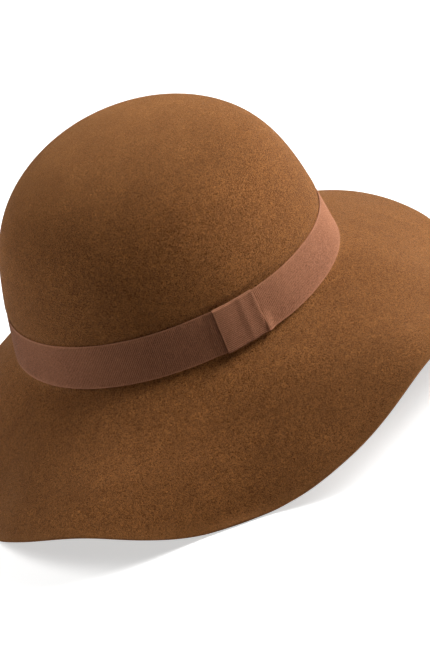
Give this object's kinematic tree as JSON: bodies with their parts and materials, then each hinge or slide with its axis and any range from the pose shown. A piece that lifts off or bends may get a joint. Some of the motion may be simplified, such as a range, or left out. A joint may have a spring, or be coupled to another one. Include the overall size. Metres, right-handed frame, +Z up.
{
  "type": "sun hat",
  "caption": "Felt sun hat with a round crown, a wide wavy drooping brim with a raw edge, and a grosgrain ribbon band with a ribbon keeper.",
  "frame": {"origin": "on the surface the hat rests on, below the middle of its outline", "axes": "+Z up through the crown, -Y toward the front of the hat, +X toward the wearer's left, where the keeper is"},
  "size_m": [0.3344, 0.347, 0.1868],
  "materials": {
    "felt": "brushed wool felt",
    "ribbon": "ribbed grosgrain"
  },
  "bodies": {
    "root": {"felt_body": "felt", "ribbon_band": "ribbon", "ribbon_keeper": "ribbon"}
  },
  "joints": []
}
